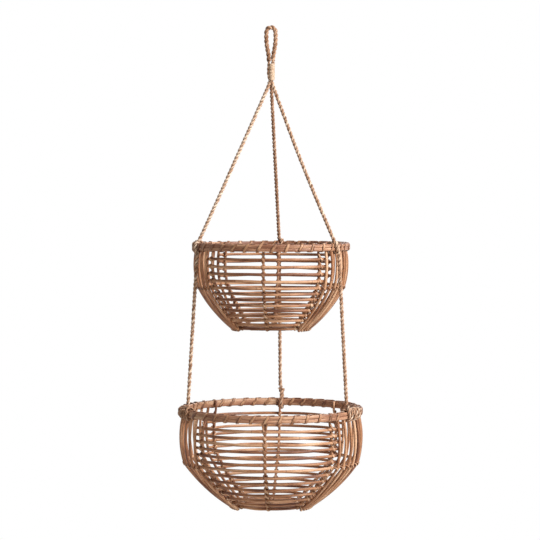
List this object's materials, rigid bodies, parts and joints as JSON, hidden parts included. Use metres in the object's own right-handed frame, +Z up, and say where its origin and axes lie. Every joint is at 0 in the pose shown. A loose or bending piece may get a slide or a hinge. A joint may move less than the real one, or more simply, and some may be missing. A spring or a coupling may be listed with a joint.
{
  "type": "hanging fruit basket",
  "caption": "Two-tier hanging fruit basket: round woven rattan bowls with wrapped rims, hung one below the other on ropes from a whipped loop.",
  "frame": {"origin": "inside top of the hanging loop, where a hook carries it", "axes": "+Z up, the front of the baskets towards -Y, +X to the right seen from the front"},
  "size_m": [0.3328, 0.3348, 0.8674],
  "materials": {
    "rattan": "satin",
    "rib": "satin",
    "split_cane": "satin",
    "rope": "matte",
    "twine": "matte"
  },
  "bodies": {
    "hanger": {"hanging_loop": "rope"},
    "whipped_neck": {"rope_bundle": "rope", "whipping": "twine"},
    "crown": {"crown_turn": "rope"},
    "upper_tier": {"left_upper_rope": "rope", "right_upper_rope": "rope", "back_upper_rope": "rope", "left_upper_hitch": "rope", "right_upper_hitch": "rope", "back_upper_hitch": "rope", "upper_outer_hoop": "rattan", "upper_inner_hoop": "rattan", "upper_rim_binding": "split_cane", "upper_waist_hoop": "rattan", "upper_base_ring": "rattan", "upper_base_canes": "rattan", "upper_front_canes": "rattan", "upper_back_canes": "rattan", "upper_left_stakes": "rattan", "upper_right_stakes": "rattan", "upper_middle_rib": "rib", "upper_edge_ribs": "rib", "upper_front_lashings": "split_cane", "upper_back_lashings": "split_cane", "upper_left_ties": "split_cane", "upper_right_ties": "split_cane", "upper_base_lashings": "split_cane"},
    "left_bend": {"left_rope_bend": "rope"},
    "left_rope": {"left_drop_rope": "rope"},
    "right_bend": {"right_rope_bend": "rope"},
    "right_rope": {"right_drop_rope": "rope"},
    "back_bend": {"back_rope_bend": "rope"},
    "back_rope": {"back_drop_rope": "rope"},
    "back_foot": {"back_foot_bend": "rope"},
    "lower_tier": {"left_lower_hitch": "rope", "right_lower_hitch": "rope", "back_lower_eye": "rope", "lower_outer_hoop": "rattan", "lower_inner_hoop": "rattan", "lower_rim_binding": "split_cane", "lower_waist_hoop": "rattan", "lower_base_ring": "rattan", "lower_base_canes": "rattan", "lower_front_canes": "rattan", "lower_back_canes": "rattan", "lower_left_stakes": "rattan", "lower_right_stakes": "rattan", "lower_middle_rib": "rib", "lower_edge_ribs": "rib", "lower_front_lashings": "split_cane", "lower_back_lashings": "split_cane", "lower_left_ties": "split_cane", "lower_right_ties": "split_cane", "lower_base_lashings": "split_cane"}
  },
  "joints": [
    {"name": "basket_turn", "type": "hinge", "parent": "hanger", "child": "whipped_neck", "pos_m": [0, 0, -0.056], "axis": [0, 0, 1], "range_deg": [-180, 180]},
    {"name": "sway_front_back", "type": "hinge", "parent": "whipped_neck", "child": "crown", "pos_m": [0, 0, -0.0951], "axis": [1, 0, 0], "range_deg": [-15, 15]},
    {"name": "sway_side", "type": "hinge", "parent": "crown", "child": "upper_tier", "pos_m": [0, 0, -0.0951], "axis": [0, 1, 0], "range_deg": [-15, 15]},
    {"name": "lower_swing_front_back", "type": "hinge", "parent": "upper_tier", "child": "back_bend", "pos_m": [0.01887, 0.14336, -0.4021], "axis": [1, 0, 0], "range_deg": [-8, 8]},
    {"name": "lower_swing_side", "type": "hinge", "parent": "back_bend", "child": "back_rope", "pos_m": [0.01887, 0.14336, -0.4021], "axis": [0, 1, 0], "range_deg": [-8, 8]},
    {"name": "back_foot_side", "type": "hinge", "parent": "back_rope", "child": "back_foot", "pos_m": [0.02115, 0.16061, -0.6542], "axis": [0, 1, 0], "range_deg": [-9, 9]},
    {"name": "back_foot_front_back", "type": "hinge", "parent": "back_foot", "child": "lower_tier", "pos_m": [0.02115, 0.16061, -0.6542], "axis": [1, 0, 0], "range_deg": [-9, 9]},
    {"name": "left_rope_front_back", "type": "hinge", "parent": "upper_tier", "child": "left_bend", "pos_m": [-0.13551, -0.05045, -0.4021], "axis": [1, 0, 0], "range_deg": [-9, 9]},
    {"name": "left_rope_side", "type": "hinge", "parent": "left_bend", "child": "left_rope", "pos_m": [-0.13551, -0.05045, -0.4021], "axis": [0, 1, 0], "range_deg": [-9, 9]},
    {"name": "right_rope_front_back", "type": "hinge", "parent": "upper_tier", "child": "right_bend", "pos_m": [0.11498, -0.08769, -0.4021], "axis": [1, 0, 0], "range_deg": [-9, 9]},
    {"name": "right_rope_side", "type": "hinge", "parent": "right_bend", "child": "right_rope", "pos_m": [0.11498, -0.08769, -0.4021], "axis": [0, 1, 0], "range_deg": [-9, 9]}
  ],
  "couplings": [
    {"joint": "back_foot_side", "follows": "lower_swing_side", "ratio": -0.89},
    {"joint": "back_foot_front_back", "follows": "lower_swing_front_back", "ratio": -0.89},
    {"joint": "left_rope_front_back", "follows": "lower_swing_front_back", "ratio": 0.95},
    {"joint": "left_rope_side", "follows": "lower_swing_side", "ratio": 0.95},
    {"joint": "right_rope_front_back", "follows": "lower_swing_front_back", "ratio": 0.963},
    {"joint": "right_rope_side", "follows": "lower_swing_side", "ratio": 0.967}
  ]
}
